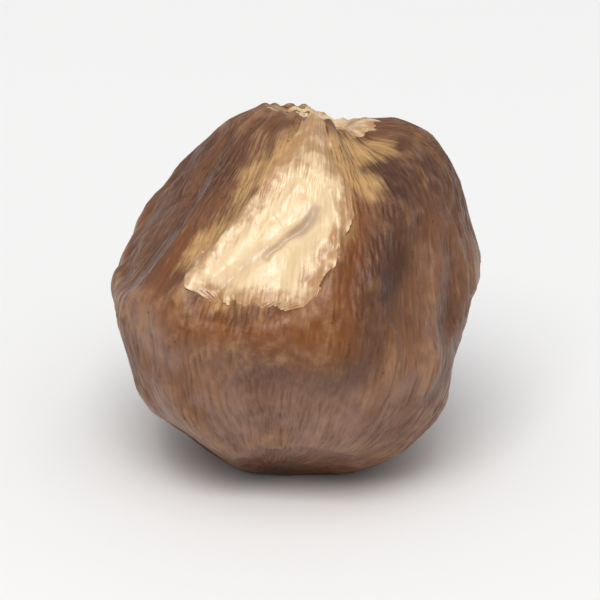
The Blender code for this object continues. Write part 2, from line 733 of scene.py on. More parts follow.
class CoatPatch(Enum):
    """Patches of another tone on the coat, each with its tone and where it lies: some are the coat's own tones,
    others painted shade, a painted shadow and painted bounce light.
    """

    # painted shadow: an amber band just under the bright shoulder's lower edge
    AMBER_PAINTED_SHADOW_UNDER_SHOULDER = (Mark.AMBER, Band(Place(-36, 12), Place(14, 11), 0.25, 1.00))
    AMBER_LEFT = (Mark.AMBER, Band(Place(-52, 22), Place(-56, 34), 0.24, 0.55))
    AMBER_RIGHT = (Mark.AMBER, Band(Place(28, 48), Place(16, 20), 0.22, 0.90))
    AMBER_BACK = (Mark.AMBER, Band(Place(150, 20), Place(-165, 30), 0.34, 0.60))
    # painted shade: the cheek darker, as on the side turned from the light
    DARK_CHEEK = (Mark.DARK, Band(Place(62, 46), Place(38, 32), 0.24, 0.80))
    # painted shade: darker along the groove right of the bright shoulder
    DARK_PAINTED_SHADE_IN_GROOVE = (Mark.DARK, Band(Place(36, 34), Place(15, -6), 0.24, 0.90))
    DARK_HUMP = (Mark.DARK, Band(Place(74, 56), Place(100, 34), 0.34, 0.85))
    # painted shadow: darker just under the bright shoulder's lower edge
    DARK_PAINTED_SHADOW_UNDER_SHOULDER = (Mark.DARK, Band(Place(-28, 13), Place(24, 10), 0.14, 0.75))
    DARK_RIGHT_EDGE = (Mark.DARK, Band(Place(60, 8), Place(48, -12), 0.24, 0.70))
    DARK_SLOPE = (Mark.DARK, Band(Place(-88, 64), Place(-74, 22), 0.26, 0.75))
    # painted shade: the underside and the lower front darker
    DARK_PAINTED_SHADE_UNDERSIDE = (Mark.DARK, Band(Place(0, -88), Place(0, -92), 0.80, 0.60))
    DARK_BACK = (Mark.DARK, Band(Place(-130, 40), Place(-140, -20), 0.40, 0.60))
    PALE_NOTCH = (Mark.PALE, Band(Place(30, 69), Place(88, 69), 0.27, 1.00))
    PALE_NOTCH_LOW = (Mark.PALE, Band(Place(40, 68), Place(50, 55), 0.17, 0.85))
    PALE_CREST = (Mark.PALE, Band(Place(-46, 70), Place(10, 84), 0.24, 0.75))
    PALE_SLANT = (Mark.PALE, Band(Place(-48, 36), Place(-34, 68), 0.22, 0.60))
    PALE_SHOULDER = (Mark.PALE, Band(Place(-26, 28), Place(2, 50), 0.46, 0.90))
    PALE_BACK_RIM = (Mark.PALE, Band(Place(-175, 52), Place(150, 48), 0.16, 0.45))
    # dust and painted bounce light: paler pinkish grey on the lower parts and the right edge
    DUST_AND_BOUNCE_BELLY = (Mark.DUST_AND_BOUNCE, Band(Place(-38, -18), Place(24, -26), 0.56, 1.00))
    DUST_AND_BOUNCE_RIGHT = (Mark.DUST_AND_BOUNCE, Band(Place(62, 24), Place(38, -24), 0.24, 0.60))
    DUST_AND_BOUNCE_LEFT = (Mark.DUST_AND_BOUNCE, Band(Place(-52, 8), Place(-44, -12), 0.28, 0.90))
    DUST_AND_BOUNCE_BACK = (Mark.DUST_AND_BOUNCE, Band(Place(-160, -20), Place(140, -24), 0.50, 0.70))

    def __init__(self, tone: Mark, band: Band) -> None:
        """Keep the patch's tone and its place by name.

        Args:
            tone: its tone.
            band: where it lies.
        """
        self.tone = tone
        self.band = band

    @classmethod
    def share(cls, tone: Mark, ways: Array) -> Array:
        """How much of one tone there is in each direction, from 0 to 1."""
        return np.clip(sum(stain.band.share(ways) for stain in cls if stain.tone is tone), 0.0, 1.0)


class BandNames(Enum):
    """Named bands of relief: ridges, and grooves where the amount is negative."""

    @classmethod
    def height(cls, ways: Array) -> Array:
        """The sum of all the bands in each direction."""
        return sum(name.value.share(ways) for name in cls)


class Fold(BandNames):
    """Creases of the dried skin over the bright shoulder."""

    LONG_RIDGE = Band(Place(-34, 28), Place(2, 62), 0.105, 0.034)
    GREY_HOLLOW = Band(Place(10, 53), Place(4, 48), 0.110, -0.022)
    GREY_CREASE = Band(Place(12, 54), Place(-12, 38), 0.042, -0.024)
    LONG_GROOVE = Band(Place(8, 51), Place(-30, 24), 0.075, -0.020)
    RIGHT_RIDGE = Band(Place(13, 42), Place(0, 27), 0.090, 0.026)
    UPPER_GROOVE = Band(Place(-20, 46), Place(-2, 64), 0.050, -0.016)
    SIDE_RIDGE = Band(Place(22, 58), Place(20, 34), 0.045, 0.018)
    SLANTED_EDGE = Band(Place(-43, 22), Place(-16, 70), 0.110, 0.022)


class Furrow(BandNames):
    """Long shallow folds of the coat itself."""

    CHEEK_GROOVE = Band(Place(48, 44), Place(24, -4), 0.12, -0.022)
    RIGHT_RIDGE = Band(Place(66, 34), Place(42, -20), 0.11, 0.020)
    RIGHT_GROOVE = Band(Place(84, 36), Place(76, -20), 0.07, -0.016)
    BELLY_DENT = Band(Place(-30, -24), Place(-2, -30), 0.24, -0.024)
    LOW_RIDGE = Band(Place(-46, -10), Place(-20, -44), 0.10, 0.018)
    BACK_GROOVE = Band(Place(150, 34), Place(160, -30), 0.10, -0.028)
    BACK_RIDGE = Band(Place(-170, 30), Place(-165, -30), 0.12, 0.022)
    LEFT_GROOVE = Band(Place(-104, 40), Place(-100, -24), 0.08, -0.022)
    LEFT_RIDGE = Band(Place(-120, 44), Place(-118, -10), 0.10, 0.020)
    SHOULDER_LIP = Band(Place(-42, 18), Place(8, 15), 0.085, 0.008)


@dataclass(frozen=True)
class CoatFinish:
    """The hard coat: lined brown and satin, paler on its edges with wear and a painted highlight, and golden
    round the bright shoulder.
    """

    # deep: dark streaks and patches, also the colour of painted shade
    deep: Colour = (0.070, 0.025, 0.012)
    brown: Colour = (0.150, 0.060, 0.027)
    warm: Colour = (0.205, 0.083, 0.034)
    # pinkish grey of dust, also painted bounce light
    dust_and_bounce: Colour = (0.305, 0.180, 0.130)
    # pale tan of wear, also a painted highlight on the ridges
    worn_and_highlight: Colour = (0.340, 0.175, 0.085)
    # amber: also the colour of the painted shadow under the bright shoulder
    amber: Colour = (0.188, 0.057, 0.008)
    gold: Colour = (0.620, 0.370, 0.150)
    cork: Colour = (0.500, 0.320, 0.160)
    soot: Colour = (0.032, 0.014, 0.009)
    mottle: Mottle = Mottle(1.3, 5.0, 0.34, 0.66, roughness=0.6)
    dark_patches: Mottle = Mottle(2.0, 4.0, 0.25, 0.60, bottom=0.5)
    dust_and_bounce_patches: Mottle = Mottle(1.7, 5.0, 0.30, 0.62, top=0.75)
    amber_patches: Mottle = Mottle(3.0, 4.0, 0.25, 0.55, bottom=0.4)
    pale_patches: Mottle = Mottle(2.6, 5.0, 0.3, 0.7, -0.22, 0.22, 0.6)
    ridge_wear_and_highlight: Mottle = Mottle(4.5, 5.0, 0.38, 0.62, top=0.75, roughness=0.6)
    cork_patches: Mottle = Mottle(9.0, 4.0, 0.35, 0.65)
    roughness: Mottle = Mottle(2.0, 4.0, 0.3, 0.7, 0.30, 0.46)
    relief_height: float = 0.014 * MM

    def patched(self, nodes: Nodes, place: Socket) -> Socket:
        """The mottled brown with its dark, dusty and amber patches, which hold painted shade, painted bounce
        light and a painted shadow besides the coat's own tones.

        Args:
            nodes: the coat's nodes.
            place: coordinates in millimetres.

        Returns:
            The colour.
        """
        colour = nodes.colours(nodes.mottled(place, self.mottle), self.brown, self.warm)
        # the dark patches carry painted shade too, the dusty ones painted bounce light, the amber ones a
        # painted shadow under the shoulder
        tone_patches = (
            (Mark.DARK, self.dark_patches, self.deep),
            # dust and painted bounce light
            (Mark.DUST_AND_BOUNCE, self.dust_and_bounce_patches, self.dust_and_bounce),
            (Mark.AMBER, self.amber_patches, self.amber),
        )
        for mark, patches, tone in tone_patches:
            colour = nodes.colours(nodes.times(nodes.mark(mark), nodes.mottled(place, patches)), colour, tone)
        return colour

    def streaked(self, nodes: Nodes, place: Socket, grain: Socket, colour: Socket) -> Socket:
        """The golden zones, then pale and dark streaks along the grain.

        Args:
            nodes: the coat's nodes.
            place: coordinates in millimetres.
            grain: coordinates in which the streaks are round.
            colour: the colour so far.

        Returns:
            The streaked colour.
        """
        streaks = nodes.noise(grain, 0.55, 4.0, 0.65)
        pale = nodes.plus(nodes.mark(Mark.PALE), nodes.mottled(place, self.pale_patches))
        pale = nodes.plus(pale, nodes.graded(streaks, 0.3, 0.7, -0.30, 0.20))
        colour = nodes.colours(nodes.graded(pale, 0.20, 0.95, 0.0, 0.85), colour, self.gold)
        colour = nodes.colours(nodes.graded(streaks, 0.52, 0.76, 0.0, 0.26), colour, self.worn_and_highlight)
        return nodes.colours(nodes.graded(streaks, 0.50, 0.26, 0.0, 0.36), colour, self.deep)

    def weathered_and_painted_light(self, nodes: Nodes, place: Socket, scar: Socket, colour: Socket) -> Socket:
        """The ridges, paler with wear and a painted highlight, the painted shade in hollows, the corky scar and
        scattered dark specks.

        Args:
            nodes: the coat's nodes.
            place: coordinates in millimetres.
            scar: the share of the scar.
            colour: the colour so far.

        Returns:
            The finished colour.
        """
        # the ridges paler: partly wear, partly a painted highlight
        ridge_wear_and_highlight = nodes.times(nodes.mark(Mark.RIDGE), nodes.mottled(place, self.ridge_wear_and_highlight))
        colour = nodes.colours(ridge_wear_and_highlight, colour, self.worn_and_highlight)
        # painted shade: darker in the coat's hollows
        colour = nodes.colours(nodes.times(nodes.mark(Mark.PAINTED_HOLLOW_SHADE), 0.42), colour, self.deep)
        cork = nodes.colours(nodes.mottled(place, self.cork_patches), self.cork, self.amber)
        colour = nodes.colours(nodes.graded(scar, 0.25, 0.7), colour, cork)
        specks = nodes.graded(nodes.cells(place, 5.5), 0.085, 0.045, 0.0, 0.6)
        return nodes.colours(specks, colour, self.soot)

    def relief(self, nodes: Nodes, place: Socket, grain: Socket) -> Socket:
        """The finest relief: rows of small pillows along the grain, with pores.

        Args:
            nodes: the coat's nodes.
            place: coordinates in millimetres.
            grain: coordinates in which the streaks are round.

        Returns:
            The height.
        """
        rows = nodes.add("VectorMath", {0: grain, 1: (1.0, 1.0, 4.5)}, operation="MULTIPLY").outputs[0]
        pillows = nodes.graded(nodes.cells(rows, 0.85), 0.75, 0.10)
        return nodes.plus(pillows, nodes.times(nodes.noise(place, 24.0, 3.0, 0.6), 0.6))

    def material(self) -> bpy.types.Material:
        """The coat's material, from the marks that its mesh carries.

        Returns:
            The material.
        """
        nodes = Nodes("seed_coat")
        place, grain, scar = nodes.in_mm(), nodes.mark(Mark.GRAIN), nodes.mark(Mark.SCAR)
        colour = self.streaked(nodes, place, grain, self.patched(nodes, place))
        corky = nodes.graded(scar, 0.2, 0.7, 0.0, 0.30)
        return nodes.dress(
            Base_Color=self.weathered_and_painted_light(nodes, place, scar, colour),
            Roughness=nodes.plus(nodes.mottled(place, self.roughness), corky),
            Normal=nodes.bumped(self.relief(nodes, place, grain), self.relief_height),
            Specular_IOR_Level=0.28,
            Coat_Weight=0.17,
            Coat_Roughness=0.22,
        )


@dataclass(frozen=True)
class SkinFinish:
    """The dried skin: silky cream with golden blotches, grey painted shade in the hollows of its folds and
    brown where it is thin.
    """

    cream: Colour = (0.830, 0.640, 0.400)
    golden: Colour = (0.720, 0.480, 0.230)
    thin: Colour = (0.380, 0.175, 0.055)
    # grey painted shade for the hollows of the folds
    painted_fold_shade: Colour = (0.520, 0.390, 0.275)
    blotches: Mottle = Mottle(2.6, 5.0, 0.32, 0.68, top=0.55, roughness=0.6)
    fold_patches: Mottle = Mottle(4.0, 4.0, 0.3, 0.7, -0.10, 0.10)
    rim_patches: Mottle = Mottle(5.0, 4.0, 0.3, 0.7, -0.25, 0.25)
    roughness: Mottle = Mottle(6.0, 3.0, 0.3, 0.7, 0.28, 0.42)
    relief_height: float = 0.005 * MM

    def material(self) -> bpy.types.Material:
        """The skin's material, from the marks that its meshes carry.

        Returns:
            The material.
        """
        nodes = Nodes("dried_skin")
        place = nodes.in_mm()
        fibres = nodes.noise(nodes.mark(Mark.GRAIN), 1.3, 3.0, 0.6)
        colour = nodes.colours(nodes.mottled(place, self.blotches), self.cream, self.golden)
        colour = nodes.colours(nodes.graded(fibres, 0.50, 0.28, 0.0, 0.55), colour, self.golden)
        fold = nodes.plus(nodes.mark(Mark.FOLD), nodes.mottled(place, self.fold_patches))
        # painted shade: grey where the skin's folds are low
        colour = nodes.colours(nodes.graded(fold, 0.50, -0.12, 0.0, 0.85), colour, self.painted_fold_shade)
        rim = nodes.plus(nodes.mark(Mark.RIM), nodes.mottled(place, self.rim_patches))
        rim = nodes.plus(rim, nodes.graded(fibres, 0.30, 0.70, 0.14, -0.14))
        relief = nodes.plus(fibres, nodes.times(nodes.noise(place, 20.0, 3.0), 0.6))
        return nodes.dress(
            Base_Color=nodes.colours(nodes.graded(rim, 0.25, 0.95, 0.0, 0.85), colour, self.thin),
            Roughness=nodes.mottled(place, self.roughness),
            Normal=nodes.bumped(relief, self.relief_height),
            Specular_IOR_Level=0.65,
            Coat_Weight=0.35,
            Coat_Roughness=0.26,
        )


@dataclass(frozen=True)
class FloorFinish:
    """A plain pale table.

    Attributes:
        pale: its colour.
        least: the darkest that its unevenness makes it, as a share of that colour.
    """

    pale: Colour = (0.90, 0.90, 0.905)
    least: float = 0.985

    def material(self) -> bpy.types.Material:
        """The table's material, with the faintest unevenness.

        Returns:
            The material.
        """
        nodes = Nodes("pale_table")
        cloudy = nodes.noise(nodes.in_mm(), 0.02, 2.0)
        darker = tuple(self.least * part for part in self.pale)
        return nodes.dress(Base_Color=nodes.colours(cloudy, self.pale, darker), Roughness=0.62)


def new_mesh(
    name: str, points: Array, faces: list, values: dict[Mark, Array], material: bpy.types.Material
) -> bpy.types.Object:
    """A smooth mesh object in the scene.

    Args:
        name: the piece's name.
        points: its vertices in metres.
        faces: its faces as vertex numbers.
        values: what each vertex carries for the material, numbers or vectors.
        material: its finish.

    Returns:
        The object.
    """
    mesh = bpy.data.meshes.new(name)
    mesh.from_pydata(points.tolist(), [], faces)
    for mark, rows in values.items():
        kind, field_name = ("FLOAT_VECTOR", "vector") if rows.ndim == 2 else ("FLOAT", "value")
        layer = mesh.attributes.new(mark.value, kind, "POINT")
        layer.data.foreach_set(field_name, rows.astype(np.float32).ravel())
    mesh.materials.append(material)
    mesh.shade_smooth()
    mesh.validate()
    piece = bpy.data.objects.new(name, mesh)
    bpy.context.scene.collection.objects.link(piece)
    return piece


@dataclass(frozen=True)
class Lines:
    """The coat's fine lines, which run from the scar round to the far end, and coarser ones under them.

    Attributes:
        count: of the fine lines round the seed.
        height: their relief.
        narrowness: how narrow they are.
        lengthwise: features along them for each radian.
        wander: how far they wander, in lines.
        faintest: how strong they are where they are faint.
        coarse_height: the coarser lines' relief against the fine ones'.
        courses: the pattern in which they wander.
        fine: the fine lines' pattern.
        coarse: the coarser lines' pattern.
        patches: where they are strong.
    """

    count: int = 190
    height: float = 0.0060
    narrowness: float = 2.4
    lengthwise: float = 2.4
    wander: float = 2.2
    faintest: float = 0.35
    coarse_height: float = 0.55
    courses: Pattern = Pattern(4.1, 1.8)
    fine: Pattern = Pattern(23.7, octaves=2, roughness=0.6)
    coarse: Pattern = Pattern(11.3, (0.22, 0.22, 0.5), octaves=2)
    patches: Pattern = Pattern(91.3, 2.1)

    def space(self, turn: Array, angle: Array) -> Array:
        """Coordinates in which the coat's streaks are round, so that noise read there runs along the seed."""
        around = self.count / FULL_TURN
        return np.stack((np.cos(turn) * around, np.sin(turn) * around, angle * self.lengthwise), axis=1)

    def relief(self, ways: Array, space: Array, strength: Array, calm: Array) -> Array:
        """The lines' height.

        Args:
            ways: unit directions from the middle.
            space: the lines' own coordinates of each.
            strength: how far the lines have come up there, from 0 to 1.
            calm: the share of the bright shoulder, which has hardly any fine lines.

        Returns:
            Their height in each direction.
        """
        shift = self.wander * self.courses.over(ways)[:, None]
        lines = 1.0 - self.narrowness * np.abs(self.fine.over(space, shift))
        presence = self.faintest + (1.0 - self.faintest) * step(self.patches.over(ways), -0.35, 0.35)
        presence *= 1.0 - 0.9 * calm
        both = presence * lines + self.coarse_height * self.coarse.over(space, shift)
        return self.height * strength * both


@dataclass(frozen=True)
class Pits:
    """The coat's scattered pits.

    Attributes:
        fineness: pits for each radius.
        depth: of each.
        radius: where a pit ends, as a share of the space between pits.
        floor: how far its floor reaches, as the same share.
        patches: where the pits are.
    """

    fineness: float = 5.5
    depth: float = 0.014
    radius: float = 0.30
    floor: float = 0.05
    patches: Pattern = Pattern(53.3, 2.0, octaves=2)

    def relief(self, ways: Array) -> Array:
        """The pits' depth.

        Args:
            ways: unit directions from the middle.

        Returns:
            Their depth in each direction, above 0.
        """
        places = (ways * self.fineness).tolist()
        spots = np.fromiter((noise.voronoi(place)[0][0] for place in places), float, len(places))
        pits = step(spots, self.radius, self.floor) * step(self.patches.over(ways), 0.0, 0.5)
        return self.depth * pits


@dataclass
class Coat:
    """The seed's coat, with its fine lines, creases and pits as real relief.

    Attributes:
        body: the form that the coat covers.
        turns: columns of the mesh round the scar.
        rings: rings of the mesh from the scar to the far end.
        lines: the fine lines.
        pits: the scattered pits.
        crease_height: the relief of the dents and creases.
        crease_bend: how far the creases bend with the dents.
        dents: the dents' pattern.
        creases: the creases' pattern.
        puckers: how many puckers spread from the scar.
        pucker_height: their relief.
        pucker_angle: how far from the scar they are highest, in radians.
        pucker_width: how far on both sides of that they reach, in radians.
        patch_wander: how uneven the patches' outlines are.
        furrow_wander: how far the furrows wander.
        fold_wander: how far the folds over the bright shoulder wander.
        finish: the coat's finish.
    """

    body: SeedBody
    turns: int = 620
    rings: int = 160
    lines: Lines = Lines()
    pits: Pits = Pits()
    crease_height: float = 0.013
    crease_bend: float = 0.3
    dents: Pattern = Pattern(31.9, 1.9)
    creases: Pattern = Pattern(47.1, (2.9, 2.9, 2.3), octaves=4)
    puckers: int = 17
    pucker_height: float = 0.014
    pucker_angle: float = 0.50
    pucker_width: float = 0.26
    patch_wander: Wander = Wander(0.085, 2.2, (71.3, 75.9, 79.1), roughness=0.6)
    furrow_wander: Wander = Wander(0.07, 1.7, (17.7, 67.1, 87.9), octaves=2)
    fold_wander: Wander = Wander(0.045, 3.4, (7.7, 37.1, 97.9))
    finish: CoatFinish = CoatFinish()

    def fine_relief(self, ways: Array, turn: Array, angle: Array) -> Array:
        """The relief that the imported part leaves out.

        Args:
            ways: unit directions from the middle.
            turn: the turn of each round the scar, in radians.
            angle: the angle of each from the scar, in radians.

        Returns:
            Heights to add to the form's reach.
        """
        shoulder = CoatPatch.PALE_SHOULDER.band.share(ways)
        from_ends = step(angle, 0.20, 0.62) * step(angle, math.pi - 0.04, math.pi - 0.5)
        dents = self.dents.over(ways)
        folded = 0.35 - np.abs(self.creases.over(ways, self.crease_bend * dents[:, None]))
        creases = 0.9 * dents + 1.3 * (1.0 - 0.8 * shoulder) * folded * (0.3 + 0.7 * from_ends)
        spokes = np.cos(self.puckers * turn + 2.4 * dents + 3.0 * angle)

        relief = self.lines.relief(ways, self.lines.space(turn, angle), from_ends, shoulder)
        relief += self.crease_height * creases
        relief += self.pucker_height * (spokes * ring(angle, self.pucker_angle, self.pucker_width))
        relief += Furrow.height(self.furrow_wander.shifted(ways))
        return relief - self.pits.relief(ways) + self.folds(ways)

    def folds(self, ways: Array) -> Array:
        """The height of the folds over the bright shoulder, which wander a little."""
        return Fold.height(self.fold_wander.shifted(ways))

    def reach(self, turn: Array, angle: Array) -> tuple[Array, Array]:
        """The coat's outside.

        Args:
            turn: turns round the scar, in radians.
            angle: angles from the scar, in radians.

        Returns:
            The unit directions, and how far the coat reaches in each.
        """
        ways = self.body.ways(turn, angle)
        grain = self.body.grain
        return ways, grain.reach(ways) + self.fine_relief(ways, turn, angle) + grain.scar.detail(ways, turn)

    def faces(self) -> list:
        """The faces between the rings, with a fan at each end.

        Returns:
            Each face as its vertices' numbers.
        """
        turns, rings = self.turns, self.rings
        last = turns * rings + 1
        column = np.arange(turns)
        after = (column + 1) % turns
        fans = [(0, 1 + a, 1 + b) for a, b in zip(column, after)]
        base = last - turns
        fans += [(last, base + b, base + a) for a, b in zip(column, after)]
        rows = np.arange(rings - 1)[:, None] * turns + 1
        corners = (rows + column, rows + turns + column, rows + turns + after, rows + after)
        return np.stack(corners, axis=-1).reshape(-1, 4).tolist() + fans

    def smoothed(self, height: Array, passes: int) -> Array:
        """The height averaged with its neighbours on the rings.

        Args:
            height: one value for each vertex.
            passes: how often it is averaged.

        Returns:
            The smooth height.
        """
        rows = height[1:-1].reshape(self.rings, self.turns)
        for _ in range(passes):
            rows = (rows + np.roll(rows, 1, axis=1) + np.roll(rows, -1, axis=1)) / 3
            padded = np.pad(rows, ((1, 1), (0, 0)), mode="edge")
            rows = (padded[:-2] + padded[1:-1] + padded[2:]) / 3
        return np.concatenate(([rows[0].mean()], rows.ravel(), [rows[-1].mean()]))

    def values(self, ways: Array, reach: Array, turn: Array, angle: Array) -> dict[Mark, Array]:
        """What each vertex carries for the finish.

        Args:
            ways: unit directions from the middle.
            reach: how far the coat reaches in each.
            turn: turns round the scar, in radians.
            angle: angles from the scar, in radians.

        Returns:
            The values by mark.
        """
        scar = self.body.grain.scar
        near, wide = reach - self.smoothed(reach, 3), reach - self.smoothed(reach, 50)
        uneven = self.patch_wander.shifted(ways)
        tones = {tone: CoatPatch.share(tone, uneven) for tone in TONES}
        # where the ridges are, which the finish makes paler with wear and a painted highlight
        ridge = np.clip(0.35 * step(near, 0.0004, 0.0022) + step(wide, 0.0035, 0.016), 0.0, 1.0)
        # painted shade: how hollow each place is, to darken the coat there
        painted_hollow_shade = 0.60 * step(near, -0.0004, -0.0026) + 0.5 * step(wide, -0.012, -0.036)
        return tones | {
            Mark.GRAIN: self.lines.space(turn, angle),
            Mark.RIDGE: ridge * (1.0 - 0.6 * tones[Mark.DARK]),
            Mark.PAINTED_HOLLOW_SHADE: np.clip(painted_hollow_shade, 0.0, 1.0),
            Mark.SCAR: step(scar.at.distance(ways), 1.15 * scar.radius, 0.75 * scar.radius),
        }

    def build(self) -> bpy.types.Object:
        """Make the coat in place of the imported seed.

        Returns:
            The coat, riding on the part's one body.
        """
        turn, angle = self.body.grid(self.turns, self.rings)
        ways, reach = self.reach(turn, angle)
        values = self.values(ways, reach, turn, angle)
        points = self.body.place(ways, reach)
        piece = new_mesh("seed_coat", points, self.faces(), values, self.finish.material())
        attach(piece, "root")
        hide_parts("seed")
        return piece


@dataclass
class Skin:
    """A torn remnant of the dried skin that lies on the coat, as a closed shell of its real thickness.

    Attributes:
        coat: the coat under it.
        name: the piece's name.
        columns: columns of the mesh across the remnant.
        rows: rows of the mesh from the scar outwards.
        thickness: of the dried skin.
        gap: how far its underside stands off the coat where it lies flat.
        crinkle: the relief of its fine folds.
        crinkle_bend: how far they wander, in the grain's coordinates.
        crinkles: their pattern.
        courses: the pattern in which they wander.
        curl: how far its torn edges lift, where they lift.
        curl_width: how wide the lifted edge is.
        curls: where the edges lift.
        settled_width: how wide the edge is that lies against the coat elsewhere.
        tuck: how far such an edge goes into the coat, so that no gap shows under it.
        deepest: how far the skin's upper side may go into the coat.
        closed: true where the columns run once round the scar.
        finish: the skin's finish.
    """

    coat: Coat
    name: str
    columns: int
    rows: int
    thickness: float = 0.004
    gap: float = 0.003
    crinkle: float = 0.005
    crinkle_bend: float = 1.2
    crinkles: Pattern = Pattern(83.3, (0.16, 0.16, 0.55), roughness=0.6)
    courses: Pattern = Pattern(15.1, 3.0)
    curl: float = 0.022
    curl_width: float = 0.10
    curls: Pattern = Pattern(37.7, 3.6, roughness=0.6)
    settled_width: float = 0.05
    tuck: float = 0.002
    deepest: float = 0.004
    closed: bool = False
    finish: SkinFinish = SkinFinish()

    def spread(self, across: Array, along: Array) -> tuple[Array, Array, Array]:
        """Where the remnant lies.

        Args:
            across: the share of the way across it, from 0 to 1.
            along: the share of the way from the scar to its far edge, from 0 to 1.

        Returns:
            The turn round the scar and the angle from it, in radians, and how far the nearest torn edge is.
        """
        raise NotImplementedError

    def folds(self, ways: Array, space: Array) -> Array:
        """The height of the skin's own fine folds."""
        shift = self.crinkle_bend * self.courses.over(ways)[:, None]
        return self.crinkle * (0.30 - np.abs(self.crinkles.over(space, shift)))

    def thin_share(self, angle: Array, inside: Array, lifted: Array) -> Array:
        """How far the coat's brown shows through: most along the edges that lie flat."""
        return (1.0 - step(inside, 0.0, 0.24)) * (1.0 - 0.6 * lifted)

    def faces(self) -> list:
        """The faces of the upper side, the underside and the torn edges between them.

        Returns:
            Each face as its vertices' numbers.
        """
        column = np.arange(self.columns if self.closed else self.columns - 1)
        after = (column + 1) % self.columns
        row = np.arange(self.rows - 1)[:, None] * self.columns
        corners = (row + column, row + self.columns + column, row + self.columns + after, row + after)
        top = np.stack(corners, axis=-1).reshape(-1, 4)
        under = self.columns * self.rows
        far = under - self.columns
        found = top.tolist() + (top[:, ::-1] + under).tolist()
        pairs = list(zip(column.tolist(), after.tolist()))
        found += [(a, b, b + under, a + under) for a, b in pairs]
        found += [(far + b, far + a, far + a + under, far + b + under) for a, b in pairs]
        if not self.closed:
            for first in range(0, far, self.columns):
                second = first + self.columns
                one, two = second - 1, second + self.columns - 1
                found.append((second, first, first + under, second + under))
                found.append((one, two, two + under, one + under))
        return found

    def grid(self) -> tuple[Array, Array]:
        """The mesh's places across the remnant and along it.

        Returns:
            The shares of the way across and along, from 0 to 1, row by row.
        """
        last = self.columns if self.closed else self.columns - 1
        shares = np.linspace(0, 1, self.rows), np.arange(self.columns) / last
        along, across = np.meshgrid(*shares, indexing="ij")
        return across.ravel(), along.ravel()

    def shell(self, upper: Array, under: Array, values: dict[Mark, Array]) -> bpy.types.Object:
        """Join the two sides of the skin in one piece.

        Args:
            upper: the upper side's points in metres.
            under: the underside's points in metres.
            values: what each point of either side carries for the finish.

        Returns:
            The piece, riding on the part's one body.
        """
        points = np.concatenate((upper, under))
        both = {mark: np.concatenate((rows, rows)) for mark, rows in values.items()}
        piece = new_mesh(self.name, points, self.faces(), both, self.finish.material())
        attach(piece, "root")
        return piece

    def build(self) -> bpy.types.Object:
        """Make the remnant.

        Returns:
            The remnant, riding on the part's one body.
        """
        turn, angle, inside = self.spread(*self.grid())
        ways, reach = self.coat.reach(turn, angle)
        space = self.coat.lines.space(turn, angle)
        folds = self.folds(ways, space)
        lifted = step(self.curls.over(ways), 0.10, 0.60)
        lift = self.curl * lifted * np.clip(1.0 - inside / self.curl_width, 0.0, 1.0) ** 2
        settled = step(inside, 0.0, self.settled_width)
        height = (self.gap + self.thickness + folds) * settled + lift
        height -= self.tuck * (1.0 - settled) * (1.0 - lifted)
        height = np.maximum(height, -self.deepest)
        values = {
            Mark.GRAIN: space,
            # how high the folds are, which sets the grey painted shade in their hollows
            Mark.FOLD: 0.5 + (folds + self.coat.folds(ways)) / 0.07,
            Mark.RIM: self.thin_share(angle, inside, lifted),
        }
        upper = self.coat.body.place(ways, reach + height)
        return self.shell(upper, self.coat.body.place(ways, reach + height - self.thickness), values)


@dataclass(frozen=True)
class Station:
    """One place along the borders of the tongue of skin, in degrees.

    Attributes:
        angle: how far it is from the scar.
        left: the left border's turn round the scar.
        right: the right border's turn.
    """

    angle: float
    left: float
    right: float


@dataclass
class ShoulderSkin(Skin):
    """The tongue of skin that runs from the scar over the crest and down the bright shoulder.

    Attributes:
        stations: the tongue's borders, from the scar outwards.
        tatter: how ragged its sides are, in degrees.
        left_tears: the left side's pattern, by degrees from the scar.
        right_tears: the right side's.
        hem: how ragged its far edge is, in degrees.
        hem_tears: the far edge's pattern, by the share of the way across.
        crest_thin: how far the coat shows through near the scar.
        crest: between which angles from the scar that fades, in degrees.
    """

    name: str = "shoulder_skin"
    columns: int = 190
    rows: int = 230
    stations: tuple[Station, ...] = (
        Station(13, -14, 10),
        Station(30, -17, 12),
        Station(39, -23, 16),
        Station(46, -26, 19),
        Station(55, -30, 17),
        Station(64, -36, 12),
        Station(74, -42, 9),
        Station(83, -45, 5),
        Station(87, -40, 1),
        Station(90, -32, -6),
    )
    tatter: float = 2.6
    left_tears: Pattern = Pattern(5.7, 0.10, octaves=5, roughness=0.7)
    right_tears: Pattern = Pattern(9.1, 0.10, octaves=5, roughness=0.7)
    hem: float = 2.2
    hem_tears: Pattern = Pattern(2.9, 9.0, octaves=5, roughness=0.7)
    crest_thin: float = 0.75
    crest: tuple[float, float] = (30.0, 52.0)

    def spread(self, across: Array, along: Array) -> tuple[Array, Array, Array]:
        """Where the tongue lies, between its two ragged borders.

        Args:
            across: the share of the way from the left border to the right one.
            along: the share of the way from the scar to the far edge.

        Returns:
            The turn round the scar and the angle from it, in radians, and how far the nearest torn edge is.
        """
        angles = [station.angle for station in self.stations]
        length = angles[-1] - angles[0]
        degrees = angles[0] + length * along
        left = np.interp(degrees, angles, [station.left for station in self.stations])
        right = np.interp(degrees, angles, [station.right for station in self.stations])
        low = np.radians(left + self.tatter * self.left_tears.along(degrees))
        high = np.radians(right + self.tatter * self.right_tears.along(degrees))
        angle = np.radians(degrees + self.hem * self.hem_tears.along(across) * along**6)
        sides = np.minimum(across, 1.0 - across) * (high - low) * np.sin(angle)
        return low + (high - low) * across, angle, np.minimum(sides, (1.0 - along) * math.radians(length))

    def thin_share(self, angle: Array, inside: Array, lifted: Array) -> Array:
        """How far the coat's brown shows through: along the edges, and all over the crest near the scar."""
        near_crest = self.crest_thin * step(angle, math.radians(self.crest[1]), math.radians(self.crest[0]))
        return np.maximum(super().thin_share(angle, inside, lifted), near_crest)


@dataclass(frozen=True)
class Lobe:
    """A stretch of the ring's border that reaches further from the scar, or less far.

    Attributes:
        middle: its turn round the scar, in degrees.
        half_width: in radians.
        further: how much further it reaches, in degrees.
    """

    middle: float
    half_width: float
    further: float


